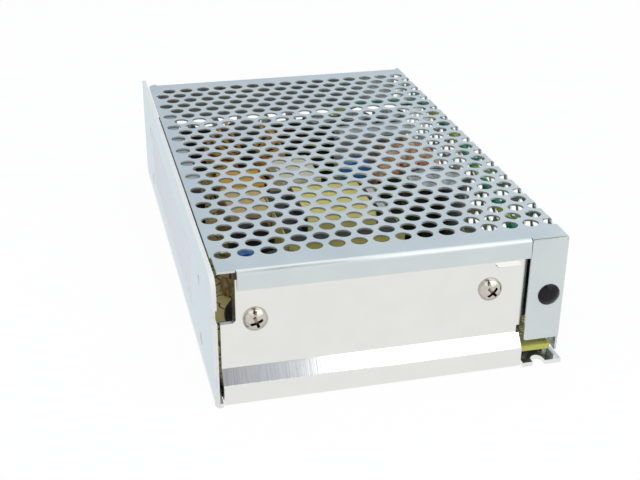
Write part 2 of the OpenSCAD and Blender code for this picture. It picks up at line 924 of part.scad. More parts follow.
module terminal_contacts() {
    w = terminal_pitch - strip_wall - 0.6;
    color([0.78, 0.76, 0.7])
        for (i = [0 : terminals - 1])
            translate([terminal_at(i), strip_screw_y, strip_seat_z])
                difference() {
                    block([-w / 2, -5.5, 0], [w / 2, 5.4, contact_t]);
                    translate([0, 0, -1])
                        cylinder(r = 1.8, h = contact_t + 2);
                }
}

module terminal_clamps() {
    w = terminal_pitch - strip_wall - 1;
    color([0.8, 0.78, 0.72])
        for (i = [0 : terminals - 1])
            translate([terminal_at(i), strip_screw_y, strip_seat_z + contact_t])
                difference() {
                    block([-w / 2, -w / 2, 0], [w / 2, w / 2, clamp_t]);
                    translate([0, 0, -1])
                        cylinder(r = 1.8, h = clamp_t + 2);
                }
}

module terminal_screws() {
    color([0.8, 0.78, 0.72])
        for (i = [0 : terminals - 1])
            translate([terminal_at(i), strip_screw_y, strip_seat_z + contact_t + clamp_t])
                pan_screw(1.7, 6.5, terminal_head_d / 2, 2.3, 15 + 37 * i);
}

module trimmer_body() {
    color([0.12, 0.3, 0.62])
        difference() {
            block([trimmer_x - 4, trimmer_y1 - 6, board_top], [trimmer_x + 4, trimmer_y1, board_top + 8.4]);
            translate([trimmer_x, 0, trimmer_z])
                along_y(rotor_d / 2 + fit, 4, trimmer_y1 - 3);
        }
}

module trimmer_rotor() {
    color([0.9, 0.88, 0.8])
        translate([trimmer_x, trimmer_y1, trimmer_z])
            difference() {
                along_y(rotor_d / 2, 3.35, -2.95);
                block([-0.45, -0.7, -rotor_d], [0.45, 2, rotor_d]);
            }
}

module output_led() {
    color([0.2, 0.75, 0.3])
        translate([led_x, trimmer_y1, trimmer_z + 0.6]) {
            rotate([-90, 0, 0])
                rotate_extrude($fn = 32)
                    difference() {
                        union() {
                            translate([0, -4])
                                square([1.9, 1]);
                            translate([0, -3.5])
                                square([1.5, 2.5]);
                            translate([0, -1])
                                circle(r = 1.5);
                        }
                        translate([-4, -6])
                            square([4, 12]);
                    }
            for (x = [-1, 1]) {
                block([x - 0.25, -6, -0.25], [x + 0.25, -4 + eps, 0.25]);
                block([x - 0.25, -6, board_top - trimmer_z - 0.6], [x + 0.25, -5.5, 0.25]);
            }
        }
}

module fuse_tube() {
    color([0.85, 0.9, 0.9])
        translate([fuse_x, fuse_y, fuse_z])
            difference() {
                along_y(2.4, 10, -5);
                along_y(1.8, 12, -6);
            }
}

module fuse_caps() {
    color([0.8, 0.78, 0.72])
        for (y = [-10, 5])
            translate([fuse_x, fuse_y + y, fuse_z])
                along_y(fuse_r, 5);
}

module fuse_clips() {
    inner = fuse_r + fit;
    t = 0.5;
    color([0.75, 0.72, 0.62])
        for (y = [-9.5, 5.5])
            translate([fuse_x, fuse_y + y, board_top]) {
                block([-inner - t, 0, 0], [inner + t, 4, t]);
                for (x = [-inner - t, inner])
                    block([x, 0, 0], [x + t, 4, 7]);
            }
}

module line_choke_core() {
    color([0.2, 0.22, 0.2])
        translate([line_x, line_y, line_z])
            toroid(line_core_d, line_core_id, line_core_t);
}

module line_choke_windings() {
    inner = line_core_id / 2 - 0.1 - line_wire_d;
    step = 2 * atan(line_wire_d / 2 / inner) + 0.3;
    color([0.6, 0.36, 0.16])
        translate([line_x, line_y, line_z])
            for (side = [0, 180], k = [0 : line_turns - 1])
                toroid_turn(line_core_d, line_core_id, line_core_t, line_wire_d,
                    side + (k - (line_turns - 1) / 2) * step);
}

module line_choke_base() {
    foot = line_z - line_core_d / 2;
    color([0.12, 0.12, 0.12])
        translate([line_x, line_y, 0]) {
            block([-11, -6.5, board_top], [11, 6.5, board_top + line_base_t]);
            block([-1, -4, board_top], [1, 4, foot]);
        }
}

module x_capacitor() {
    color([0.84, 0.72, 0.48])
        translate([x_cap_x, x_cap_y, board_top])
            block([-x_cap_w / 2, -10, 0], [x_cap_w / 2, 10, x_cap_h]);
}

module gold_capacitor() {
    color([0.86, 0.62, 0.2])
        block(concat(gold_cap[0], board_top), concat(gold_cap[1], board_top + 20));
}

module film_capacitor() {
    color([0.88, 0.84, 0.7])
        block(concat(film_cap[0], board_top), concat(film_cap[1], board_top + 24));
}

// Flat film capacitor dipped in red resin, on two wires
module dipped_capacitor() {
    color([0.6, 0.16, 0.12])
        translate(concat(dipped_cap, board_top)) {
            translate([0, 0, 4])
                linear_extrude(6.5)
                    round_rect([-4, -2], [4, 2], 1.6);
            for (x = [-2.5, 2.5])
                translate([x, 0, 0])
                    cylinder(r = 0.35, h = 4 + eps);
        }
}

module y_capacitors() {
    color([0.16, 0.36, 0.7])
        for (p = y_cap_spots)
            translate([p[0], p[1], board_top])
                disc_part(10, 4, p[2]);
}

module varistor() {
    color([0.2, 0.2, 0.24])
        translate([varistor_x, varistor_y, board_top])
            disc_part(varistor_d, 4.6, 6);
}

module thermistor() {
    color([0.2, 0.26, 0.2])
        translate(concat(thermistor_spot, board_top))
            disc_part(11, 5, 2.2);
}

module bridge_rectifier() {
    color([0.1, 0.1, 0.1])
        translate([bridge_x, bridge_y, board_top]) {
            difference() {
                block([-2.6, -9.5, 3], [2.6, 9.5, 18]);
                translate([-4, 9.5, 18])
                    rotate([45, 0, 0])
                        translate([0, -2, -2])
                            cube([8, 4, 4]);
            }
            for (y = [-7.5, -2.5, 2.5, 7.5])
                translate([0, y, 0])
                    cylinder(r = 0.55, h = 3 + eps);
        }
}

module bulk_capacitor() {
    color([0.8, 0.8, 0.8])
        translate([bulk_x, bulk_y, board_top])
            can(bulk_d - 2 * sleeve_t, bulk_h - sleeve_t);
}

module bulk_capacitor_sleeve() {
    color([0.08, 0.08, 0.09])
        translate([bulk_x, bulk_y, board_top])
            sleeve(bulk_d - 2 * sleeve_t, bulk_h - sleeve_t, sleeve_t);
}

// Two window core with its middle leg through the winding
module transformer_core() {
    gap = (core_w - 2 * core_leg - core_mid) / 2;
    color([0.2, 0.19, 0.19])
        translate([coil_x, coil_y, core_z])
            linear_extrude(core_t)
                difference() {
                    square([core_l, core_w], center = true);
                    for (s = [-1, 1])
                        translate([0, s * (core_mid + gap) / 2])
                            square([core_l - 2 * core_leg, gap], center = true);
                }
}

// Former: tube round the middle leg, end cheeks and the pin rails under the core
module transformer_bobbin() {
    inside = core_l - 2 * core_leg - 0.1;
    hole = [core_mid + 0.1, core_t + 0.1];
    cheek_w = core_w - 2 * core_leg - 0.2;
    cheek_h = core_t + 2 * coil_build;
    color([0.14, 0.14, 0.14])
        translate([coil_x, coil_y, core_z + core_t / 2]) {
            difference() {
                union() {
                    block([-inside / 2, -hole[0] / 2 - 0.8, -hole[1] / 2 - 0.8],
                        [inside / 2, hole[0] / 2 + 0.8, hole[1] / 2 + 0.8]);
                    for (x = [-inside / 2, inside / 2 - 1])
                        block([x, -cheek_w / 2, -cheek_h / 2], [x + 1, cheek_w / 2, cheek_h / 2]);
                }
                block([-core_l, -hole[0] / 2, -hole[1] / 2], [core_l, hole[0] / 2, hole[1] / 2]);
            }
            for (s = [-1, 1])
                block([s * (inside / 2 + 2) - 2.5, -core_w / 2, board_top - core_z - core_t / 2],
                    [s * (inside / 2 + 2) + 2.5, core_w / 2, -core_t / 2]);
        }
}

// Wound coil, and the tape that holds the two halves of the core together
module transformer_winding() {
    l = core_l - 2 * core_leg - 2.3;
    w = core_w - 2 * core_leg - 0.4;
    h = core_t + 2 * coil_build - 0.4;
    tube = [core_mid + 1.9, core_t + 1.9];
    color([0.88, 0.8, 0.42])
        translate([coil_x, coil_y, core_z]) {
            translate([0, 0, core_t / 2])
                span_x(-l / 2, l / 2)
                    difference() {
                        round_rect([-w / 2, -h / 2], [w / 2, h / 2], 3);
                        translate(-tube / 2)
                            square(tube);
                    }
            translate([0, 0, 0.3])
                linear_extrude(core_t - 0.6)
                    difference() {
                        square([core_l + 2 * tape_t, core_w + 2 * tape_t], center = true);
                        square([core_l + fit, core_w + fit], center = true);
                    }
        }
}

// Plate that stands on the board, its top turned over towards the front
module rectifier_heatsink() {
    t = sink_t;
    z1 = board_top + sink_h;
    color([0.7, 0.72, 0.74])
        difference() {
            span_x(sink_x0, sink_x1)
                folded([
                    [sink_y + t / 2, board_top], [sink_y + t / 2, z1 - t / 2],
                    [sink_y + t - sink_reach, z1 - t / 2]
                ], t, 1);
            translate([rect_x, 0, rect_hole_z])
                along_y(m3_r + fit, t + 2, sink_y - 1);
        }
}

module rectifier_tab() {
    color([0.75, 0.74, 0.72])
        translate([rect_x, sink_y + sink_t, board_top])
            power_tab(rect_hole_z - board_top);
}

module rectifier_body() {
    color([0.1, 0.1, 0.1])
        translate([rect_x, sink_y + sink_t, board_top])
            power_body(rect_hole_z - board_top);
}

module rectifier_screw() {
    color([0.75, 0.75, 0.74])
        translate([rect_x, sink_y + sink_t + tab_t, rect_hole_z])
            rotate([-90, 0, 0])
                pan_screw(m3_r, tab_t + sink_t, 2.7, 1.9);
}

module output_choke_core() {
    color([0.86, 0.82, 0.62])
        translate([out_x, out_y, out_z])
            toroid(out_core_d, out_core_id, out_core_t);
}

module output_choke_winding() {
    color([0.78, 0.42, 0.2])
        translate([out_x, out_y, out_z])
            for (k = [1 : out_slots - 1])
                toroid_turn(out_core_d, out_core_id, out_core_t, out_wire_d, -90 + 360 / out_slots * k);
}

module output_choke_base() {
    color([0.12, 0.12, 0.12])
        translate([out_x, out_y, 0]) {
            block([-9, -out_guard_y - out_guard_t, board_top], [9, 5.5, board_top + out_base_t]);
            block(
                [-11.5, -out_guard_y - out_guard_t, board_top],
                [11.5, -out_guard_y, board_top + 15]
            );
            block([-1, -4, board_top], [1, 4, out_z - out_core_d / 2]);
        }
}

module output_capacitors() {
    color([0.8, 0.8, 0.8])
        for (p = out_caps)
            translate([p[0], p[1], board_top])
                can(out_cap_d - 2 * sleeve_t, out_cap_h - sleeve_t);
}

module output_capacitor_sleeves() {
    color([0.08, 0.08, 0.09])
        for (p = out_caps)
            translate([p[0], p[1], board_top])
                sleeve(out_cap_d - 2 * sleeve_t, out_cap_h - sleeve_t, sleeve_t);
}

// Flat moulded package with two rows of legs
module dual_in_line(legs, pitch = 2.54) {
    l = legs / 2 * pitch;
    block([-l / 2, -3.2, 0.6], [l / 2, 3.2, 4]);
    for (i = [0 : legs / 2 - 1], s = [-1, 1])
        translate([(i - (legs / 2 - 1) / 2) * pitch, 0, 0]) {
            block([-0.5, min(s * 3, s * 4), 1.8], [0.5, max(s * 3, s * 4), 2.1]);
            block([-0.3, min(s * 3.7, s * 4), 0], [0.3, max(s * 3.7, s * 4), 2.1]);
        }
}

module control_ic() {
    color([0.1, 0.1, 0.1])
        translate(concat(control_spot, board_top))
            dual_in_line(8);
}

module optocoupler() {
    color([0.12, 0.12, 0.12])
        translate(concat(optocoupler_spot, board_top))
            rotate(90)
                dual_in_line(4);
}

module small_capacitors() {
    color([0.1, 0.1, 0.12])
        for (c = small_caps)
            translate([c[0], board_y0 + c[1], board_top])
                can(c[2], c[3]);
}

// Axial resistors on bent wires
module resistors() {
    color([0.82, 0.72, 0.52])
        for (p = resistor_spots)
            translate([p[0], p[1], board_top])
                rotate(p[2]) {
                    translate([0, 0, 1.6])
                        along_x(1.2, 6.4, -3.2);
                    translate([0, 0, 1.6])
                        along_x(0.35, 10, -5);
                    for (x = [-4.65, 4.65])
                        translate([x, 0, 0])
                            cylinder(r = 0.35, h = 1.6);
                }
}

// Smooth point at parameter u between route points i and i + 1
function route_point(p, i, u) =
    let (
        a = p[max(i - 1, 0)],
        b = p[i],
        c = p[i + 1],
        d = p[min(i + 2, len(p) - 1)]
    )
    0.5 * (2 * b + (c - a) * u + (2 * a - 5 * b + 4 * c - d) * u * u + (3 * b - a - 3 * c + d) * u * u * u);
function smooth(p, steps) = concat(
    [for (i = [0 : len(p) - 2], k = [0 : steps - 1]) route_point(p, i, k / steps)],
    [p[len(p) - 1]]
);
function heading(q, i) = unit(q[min(i + 1, len(q) - 1)] - q[max(i - 1, 0)]);

// Round tube along the points q
module tube_along(q, r, sides = 8) {
    rings = len(q);
    points = [
        for (i = [0 : rings - 1])
            let (t = heading(q, i), u = unit(cross(t, [1, 1, 0])), v = cross(t, u))
                for (k = [0 : sides - 1])
                    q[i] + r * (cos(360 * k / sides) * u + sin(360 * k / sides) * v)
    ];
    sides_of = [
        for (i = [0 : rings - 2], k = [0 : sides - 1])
            let (a = i * sides + k, b = i * sides + (k + 1) % sides)
                each [[a, a + sides, b], [b, a + sides, b + sides]]
    ];
    start = [for (k = [0 : sides - 1]) k];
    finish = [for (k = [sides - 1 : -1 : 0]) (rings - 1) * sides + k];
    polyhedron(points = points, faces = concat(sides_of, [start, finish]));
}

module earth_lead() {
    color([0.15, 0.55, 0.4])
        tube_along(smooth(lead_route, lead_steps), lead_d / 2);
}

// Ring terminal behind the flap with its barrel along the lead
module earth_lug() {
    color([0.78, 0.76, 0.72])
        difference() {
            union() {
                translate([rivet_x, 0, rivet_z])
                    along_y(3.2, lug_plate, flap_back);
                block([lug_x - 1.8, flap_back, rivet_z], [lug_x + 1.8, flap_back + lug_plate, lug_z]);
                translate([lug_x, 0, lug_z])
                    along_y(1.8, lug_len + lug_plate, flap_back);
            }
            translate([rivet_x, 0, rivet_z])
                along_y(rivet_r + fit, lug_plate + 2, flap_back - 1);
        }
}

chassis();
top_cover();
end_wall_screws();
cover_screws();
flap_rivet();
insulation_film();
circuit_board();
board_standoffs();
board_screws();
heat_spreader();
spreader_film();
transistor_pads();
transistor_tabs();
transistor_bodies();
transistor_screws();
terminal_block();
terminal_contacts();
terminal_clamps();
terminal_screws();
trimmer_body();
trimmer_rotor();
output_led();
fuse_tube();
fuse_caps();
fuse_clips();
line_choke_core();
line_choke_windings();
line_choke_base();
x_capacitor();
gold_capacitor();
film_capacitor();
dipped_capacitor();
y_capacitors();
varistor();
thermistor();
bridge_rectifier();
bulk_capacitor();
bulk_capacitor_sleeve();
transformer_core();
transformer_bobbin();
transformer_winding();
rectifier_heatsink();
rectifier_tab();
rectifier_body();
rectifier_screw();
output_choke_core();
output_choke_winding();
output_choke_base();
output_capacitors();
output_capacitor_sleeves();
control_ic();
optocoupler();
small_capacitors();
resistors();
earth_lead();
earth_lug();
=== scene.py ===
"""Looks of an enclosed switching power supply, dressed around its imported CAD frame."""

import json
import math

import bmesh
import bpy
from mathutils import Matrix, Vector


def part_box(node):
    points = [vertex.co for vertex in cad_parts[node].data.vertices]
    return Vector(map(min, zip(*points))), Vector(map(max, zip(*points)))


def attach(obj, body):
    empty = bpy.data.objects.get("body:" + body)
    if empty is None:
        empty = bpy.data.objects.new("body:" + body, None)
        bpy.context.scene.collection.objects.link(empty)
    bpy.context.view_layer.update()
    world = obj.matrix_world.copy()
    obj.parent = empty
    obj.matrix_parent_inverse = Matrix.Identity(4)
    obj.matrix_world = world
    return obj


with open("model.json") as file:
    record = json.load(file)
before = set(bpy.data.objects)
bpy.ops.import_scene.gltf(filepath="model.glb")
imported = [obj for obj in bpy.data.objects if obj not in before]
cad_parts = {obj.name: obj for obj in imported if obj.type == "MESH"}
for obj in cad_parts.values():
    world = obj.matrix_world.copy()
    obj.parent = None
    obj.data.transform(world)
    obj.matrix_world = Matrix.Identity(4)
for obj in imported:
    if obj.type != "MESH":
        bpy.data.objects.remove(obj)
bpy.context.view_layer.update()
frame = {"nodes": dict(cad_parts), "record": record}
nodes = frame["nodes"]
record = frame["record"]
MM = 0.001


# Colours and node helpers

# Stretch of a noise along the axes
EVEN = (1, 1, 1)
ALONG_X = (0.05, 1, 1)
ALONG_Y = (1, 0.05, 1)
ACROSS_X = (1, 0.03, 0.03)
WARP = (1, 0.06, 1)
WEFT = (0.06, 1, 1)

# Span that most values of a noise fill, and the whole span of a share
NOISE_SPAN = (0.3, 0.7)
SHARE_SPAN = (0, 1)

TONE_DETAIL = 3.0
GRAIN_DETAIL = 4.0
DRAWN_DETAIL = 5.0


def srgb(red, green, blue):
    """Screen colour, 0 to 255, as the linear colour that a shader takes."""
    def channel(value):
        share = value / 255
        return share / 12.92 if share <= 0.04045 else ((share + 0.055) / 1.055) ** 2.4
    return (channel(red), channel(green), channel(blue), 1.0)


def new_material(name):
    """Node material; gives the material, its tree and its Principled shader."""
    material = bpy.data.materials.new(name)
    material.use_nodes = True
    tree = material.node_tree
    return material, tree, tree.nodes["Principled BSDF"]


def noise(tree, scale, stretch=EVEN, detail=TONE_DETAIL):
    """Noise over the row frame, scale in waves per metre, stretched along the axes."""
    place = tree.nodes.new("ShaderNodeTexCoord")
    mapping = tree.nodes.new("ShaderNodeMapping")
    mapping.inputs["Scale"].default_value = stretch
    texture = tree.nodes.new("ShaderNodeTexNoise")
    texture.inputs["Scale"].default_value = scale
    texture.inputs["Detail"].default_value = detail
    tree.links.new(place.outputs["Object"], mapping.inputs["Vector"])
    tree.links.new(mapping.outputs["Vector"], texture.inputs["Vector"])
    return texture.outputs["Fac"]


def ramp(tree, value, tones, span=NOISE_SPAN, sharp=False):
    """Colour that goes from the first tone to the second over a span of the value."""
    node = tree.nodes.new("ShaderNodeValToRGB")
    node.color_ramp.interpolation = "CONSTANT" if sharp else "LINEAR"
    for element, place, tone in zip(node.color_ramp.elements, span, tones):
        element.position = place
        element.color = srgb(*tone)
    tree.links.new(value, node.inputs["Fac"])
    return node.outputs["Color"]


def spread(tree, value, low, high, span=NOISE_SPAN):
    """Maps a span of the value onto the range low to high."""
    node = tree.nodes.new("ShaderNodeMapRange")
    for socket, number in (
        ("From Min", span[0]), ("From Max", span[1]), ("To Min", low), ("To Max", high)
    ):
        node.inputs[socket].default_value = number
    tree.links.new(value, node.inputs["Value"])
    return node.outputs["Result"]


def relief(tree, shader, value, depth):
    """Bump of the given depth in mm on the shader's normal."""
    node = tree.nodes.new("ShaderNodeBump")
    node.inputs["Distance"].default_value = depth * MM
    node.inputs["Strength"].default_value = 1.0
    tree.links.new(value, node.inputs["Height"])
    tree.links.new(node.outputs["Normal"], shader.inputs["Normal"])


def combine(tree, operation, first, second):
    """Result of a Math node on two values."""
    node = tree.nodes.new("ShaderNodeMath")
    node.operation = operation
    tree.links.new(first, node.inputs[0])
    tree.links.new(second, node.inputs[1])
    return node.outputs[0]


def blend(tree, share, first, second):
    """Colour first where the share is 0, second where it is 1."""
    node = tree.nodes.new("ShaderNodeMix")
    node.data_type = "RGBA"
    tree.links.new(share, node.inputs[0])
    tree.links.new(first, node.inputs[6])
    tree.links.new(second, node.inputs[7])
    return node.outputs[2]


def within(tree, value, low, high):
    """1 where a value lies between low and high, 0 elsewhere."""
    node = tree.nodes.new("ShaderNodeMath")
    node.operation = "COMPARE"
    node.inputs[1].default_value = (low + high) / 2
    node.inputs[2].default_value = (high - low) / 2
    tree.links.new(value, node.inputs[0])
    return node.outputs[0]


def axes_of(tree, coordinate="Object"):
    """X, Y and Z of a texture coordinate: the row frame, or the normal in it."""
    place = tree.nodes.new("ShaderNodeTexCoord")
    axes = tree.nodes.new("ShaderNodeSeparateXYZ")
    tree.links.new(place.outputs[coordinate], axes.inputs[0])
    return axes.outputs


def inside(tree, axes, region):
    """1 where every axis that the region names lies in its range, 0 elsewhere."""
    share = None
    for axis, limits in region.items():
        here = within(tree, axes[axis], *limits)
        share = here if share is None else combine(tree, "MULTIPLY", share, here)
    return share


def finish(name, tones, rough, scale, metallic=0.0, grain=None, sockets=None):
    """Material with two tones and two roughnesses that follow one noise.

    grain is (scale, depth in mm, stretch) of the bump, sockets holds fixed values.
    """
    material, tree, shader = new_material(name)
    value = noise(tree, scale)
    tree.links.new(ramp(tree, value, tones), shader.inputs["Base Color"])
    tree.links.new(spread(tree, value, *rough), shader.inputs["Roughness"])
    shader.inputs["Metallic"].default_value = metallic
    for socket, number in (sockets or {}).items():
        shader.inputs[socket].default_value = number
    if grain:
        grain_scale, depth, stretch = grain
        relief(tree, shader, noise(tree, grain_scale, stretch, GRAIN_DETAIL), depth)
    return material


# Finish of each material slot in the record

PLAIN_FINISHES = {
    "galvanised_sheet": dict(
        tones=((204, 212, 212), (211, 218, 217)), rough=(0.28, 0.36), scale=60,
        metallic=0.7, grain=(2400, 0.002, EVEN),
    ),
    "tinned_metal": dict(
        tones=((182, 180, 174), (200, 198, 192)), rough=(0.22, 0.38), scale=600,
        metallic=1.0, grain=(2500, 0.004, EVEN),
    ),
    "brass_part": dict(
        tones=((196, 166, 92), (214, 186, 112)), rough=(0.22, 0.34), scale=700,
        metallic=1.0, grain=(3000, 0.003, EVEN),
    ),
    "black_nylon": dict(
        tones=((15, 15, 17), (24, 24, 27)), rough=(0.06, 0.10), scale=400,
        grain=(1500, 0.001, EVEN), sockets={"Specular IOR Level": 0.2},
    ),
    "clear_film": dict(
        tones=((138, 144, 145), (172, 177, 178)), rough=(0.28, 0.42), scale=120,
        grain=(300, 0.02, EVEN), sockets={"Transmission Weight": 0.25},
    ),
    # Dark sheet behind the right front corner of the end wall: a painted shade, standing
    # where the inside is in shadow.
    "dark_film": dict(
        tones=((30, 31, 44), (40, 42, 58)), rough=(0.3, 0.42), scale=300,
        grain=(260, 0.02, EVEN),
    ),
    "pad_rubber": dict(
        tones=((142, 142, 138), (160, 160, 156)), rough=(0.6, 0.75), scale=900,
        grain=(2600, 0.01, EVEN),
    ),
    "black_moulding": dict(
        tones=((24, 24, 25), (36, 36, 37)), rough=(0.42, 0.58), scale=500,
        grain=(2800, 0.012, EVEN),
    ),
    "blue_moulding": dict(
        tones=((30, 76, 150), (40, 92, 170)), rough=(0.36, 0.48), scale=600,
        grain=(2600, 0.008, EVEN),
    ),
    "cream_moulding": dict(
        tones=((236, 234, 210), (244, 243, 222)), rough=(0.36, 0.5), scale=500,
        grain=(2600, 0.008, EVEN),
    ),
    "green_lens": dict(
        tones=((60, 190, 90), (90, 214, 116)), rough=(0.08, 0.14), scale=400,
        sockets={"Transmission Weight": 0.5, "IOR": 1.5},
    ),
    "clear_glass": dict(
        tones=((232, 240, 240), (242, 247, 247)), rough=(0.02, 0.05), scale=300,
        sockets={"Transmission Weight": 0.9, "IOR": 1.5},
    ),
    "dark_ferrite": dict(
        tones=((44, 44, 46), (60, 60, 62)), rough=(0.5, 0.66), scale=700,
        grain=(2200, 0.015, EVEN),
    ),
    "enamelled_wire": dict(
        tones=((228, 154, 58), (250, 202, 98)), rough=(0.16, 0.28), scale=500,
        metallic=0.2, grain=(1600, 0.004, EVEN), sockets={"Coat Weight": 0.4},
    ),
    "bright_wire": dict(
        tones=((234, 156, 104), (250, 188, 138)), rough=(0.16, 0.28), scale=500,
        metallic=0.15, grain=(1600, 0.004, EVEN), sockets={"Coat Weight": 0.4},
    ),
    "yellow_box": dict(
        tones=((236, 182, 52), (245, 196, 70)), rough=(0.36, 0.5), scale=400,
        grain=(2400, 0.008, EVEN),
    ),
    "tan_box": dict(
        tones=((226, 196, 128), (238, 210, 146)), rough=(0.36, 0.5), scale=400,
        grain=(2400, 0.008, EVEN),
    ),
    "blue_coating": dict(
        tones=((44, 122, 212), (64, 144, 230)), rough=(0.2, 0.34), scale=350,
        grain=(420, 0.05, EVEN), sockets={"Coat Weight": 0.3},
    ),
    "dark_coating": dict(
        tones=((44, 42, 50), (62, 60, 70)), rough=(0.3, 0.46), scale=350,
        grain=(420, 0.05, EVEN),
    ),
    "red_coating": dict(
        tones=((150, 40, 30), (178, 58, 44)), rough=(0.2, 0.34), scale=350,
        grain=(420, 0.05, EVEN), sockets={"Coat Weight": 0.3},
    ),
    "can_aluminium": dict(
        tones=((206, 206, 206), (222, 222, 222)), rough=(0.24, 0.36), scale=500,
        metallic=1.0, grain=(2200, 0.004, EVEN),
    ),
    "black_sleeve": dict(
        tones=((20, 20, 22), (32, 32, 35)), rough=(0.24, 0.36), scale=250,
        grain=(700, 0.01, EVEN),
    ),
    "yellow_tape": dict(
        tones=((244, 232, 128), (250, 241, 152)), rough=(0.22, 0.36), scale=90,
        grain=(260, 0.03, ALONG_Y),
    ),
    "yellow_core": dict(
        tones=((236, 226, 198), (246, 238, 216)), rough=(0.4, 0.55), scale=600,
        grain=(1800, 0.012, EVEN),
    ),
    "tan_body": dict(
        tones=((196, 168, 116), (214, 188, 138)), rough=(0.34, 0.48), scale=500,
        grain=(1500, 0.01, EVEN),
    ),
}

# Regions of the chassis in metres: bare label and cut edges of the left wall, bent step of
# the end wall. A cut edge is told from the faces by how far its normal leans along X.
LABEL = {"X": (-0.050, -0.0484), "Y": (-0.0415, 0.0530), "Z": (0.0090, 0.0290)}
LEFT_WALL = {"X": (-0.0490, -0.0470)}
EDGE_LEAN = {"X": (-0.6, 0.6)}
STEP = {"Y": (-0.0796, -0.0760), "Z": (0.0060, 0.0095)}
DRAWN_SPAN = (0.36, 0.58)
DRAWN_DEPTH = 0.001
BRIGHT_ROUGH = (0.10, 0.15)
MATT_ROUGH = 0.3


def aluminium_sheet():
    """Bright rolled aluminium: drawn lines on the step, bare label, matt cut edges."""
    material, tree, shader = new_material("aluminium_sheet")
    axes = axes_of(tree)
    label = inside(tree, axes, LABEL)
    step = inside(tree, axes, STEP)
    leans = inside(tree, axes_of(tree, "Normal"), EDGE_LEAN)
    cut_edge = combine(tree, "MULTIPLY", inside(tree, axes, LEFT_WALL), leans)
    matt = combine(tree, "ADD", label, cut_edge)
    clouds = noise(tree, scale=120)
    drawn = noise(tree, scale=3600, stretch=ACROSS_X, detail=DRAWN_DETAIL)
    fibres = noise(tree, scale=700)
    plain = ramp(tree, clouds, ((226, 226, 223), (230, 230, 227)))
    rubbed = ramp(tree, drawn, ((217, 219, 225), (234, 234, 232)), DRAWN_SPAN)
    paper = ramp(tree, fibres, ((223, 223, 226), (231, 231, 234)))
    metal = blend(tree, step, plain, rubbed)
    tree.links.new(blend(tree, label, metal, paper), shader.inputs["Base Color"])
    tree.links.new(spread(tree, matt, 1, 0, SHARE_SPAN), shader.inputs["Metallic"])
    added = spread(tree, matt, 0, MATT_ROUGH, SHARE_SPAN)
    rough = combine(tree, "ADD", spread(tree, clouds, *BRIGHT_ROUGH), added)
    tree.links.new(rough, shader.inputs["Roughness"])
    lines = combine(tree, "MULTIPLY", spread(tree, drawn, -1, 1), step)
    relief(tree, shader, lines, DRAWN_DEPTH)
    return material


# Painted shade in the recesses of the screws: reach in mm, and span of the occlusion from
# hollow to open
HOLLOW_REACH = 1.2
HOLLOW_SPAN = (0.45, 0.85)
NICKEL_ROUGH = (0.07, 0.13)
NICKEL_DEPTH = 0.002


def nickel_steel():
    """Plated steel, bright on its domes, with painted shade darkening its recesses."""
    material, tree, shader = new_material("nickel_steel")
    clouds = noise(tree, scale=500)
    bright = ramp(tree, clouds, ((190, 184, 173), (206, 200, 190)))
    # The dark tone in the recesses is painted shade, laid in by the occlusion below.
    painted_recess_shade = ramp(tree, noise(tree, scale=1500), ((52, 44, 36), (84, 74, 62)))
    hollow = tree.nodes.new("ShaderNodeAmbientOcclusion")
    hollow.inputs["Distance"].default_value = HOLLOW_REACH * MM
    hollow.only_local = True
    is_open = spread(tree, hollow.outputs["AO"], 0, 1, HOLLOW_SPAN)
    tree.links.new(blend(tree, is_open, painted_recess_shade, bright), shader.inputs["Base Color"])
    tree.links.new(spread(tree, clouds, *NICKEL_ROUGH), shader.inputs["Roughness"])
    shader.inputs["Metallic"].default_value = 1.0
    grain = noise(tree, scale=3000, detail=GRAIN_DETAIL)
    relief(tree, shader, grain, NICKEL_DEPTH)
    return material


# Regions of the board in metres: top face, solder side, printed part of the top, tan
# corner beside the end wall, and the span of X over which the board turns olive
BOARD_FACE = {"Z": (0.00499, 0.00502)}
SOLDER_SIDE = {"Z": (0.00338, 0.00342)}
PRINTED_PART = {"X": (-0.05, 0.03)}
TAN_CORNER = {"X": (0.0365, 0.0500), "Y": (-0.0712, -0.0500)}
OLIVE_SPAN = (-0.02, 0.03)
THREADS_PER_M = 1500
THREAD_SPAN = (0.7, 1.3)
SOLDER_SPAN = (0.44, 0.60)
BOARD_ROUGH = (0.26, 0.42)
THREAD_DEPTH = 0.008

# Printed outlines: rings round scattered points, and lines in patches between them
RINGS_PER_M = 150
RING_EDGE = (0.36, 0.43)
LINES_PER_M = 190
LINE_WIDTH = 0.02
LINE_PATCH = (0.5, 1.0)


def printed_outlines(tree):
    """1 on thin printed rings and lines, 0 elsewhere."""
    place = tree.nodes.new("ShaderNodeTexCoord")
    cells = tree.nodes.new("ShaderNodeTexVoronoi")
    cells.voronoi_dimensions = "2D"
    cells.inputs["Scale"].default_value = RINGS_PER_M
    tree.links.new(place.outputs["Object"], cells.inputs["Vector"])
    bricks = tree.nodes.new("ShaderNodeTexBrick")
    bricks.inputs["Scale"].default_value = LINES_PER_M
    bricks.inputs["Mortar Size"].default_value = LINE_WIDTH
    tree.links.new(place.outputs["Object"], bricks.inputs["Vector"])
    rings = within(tree, cells.outputs["Distance"], *RING_EDGE)
    patches = within(tree, noise(tree, scale=90), *LINE_PATCH)
    lines = combine(tree, "MULTIPLY", bricks.outputs["Fac"], patches)
    return combine(tree, "MAXIMUM", rings, lines)


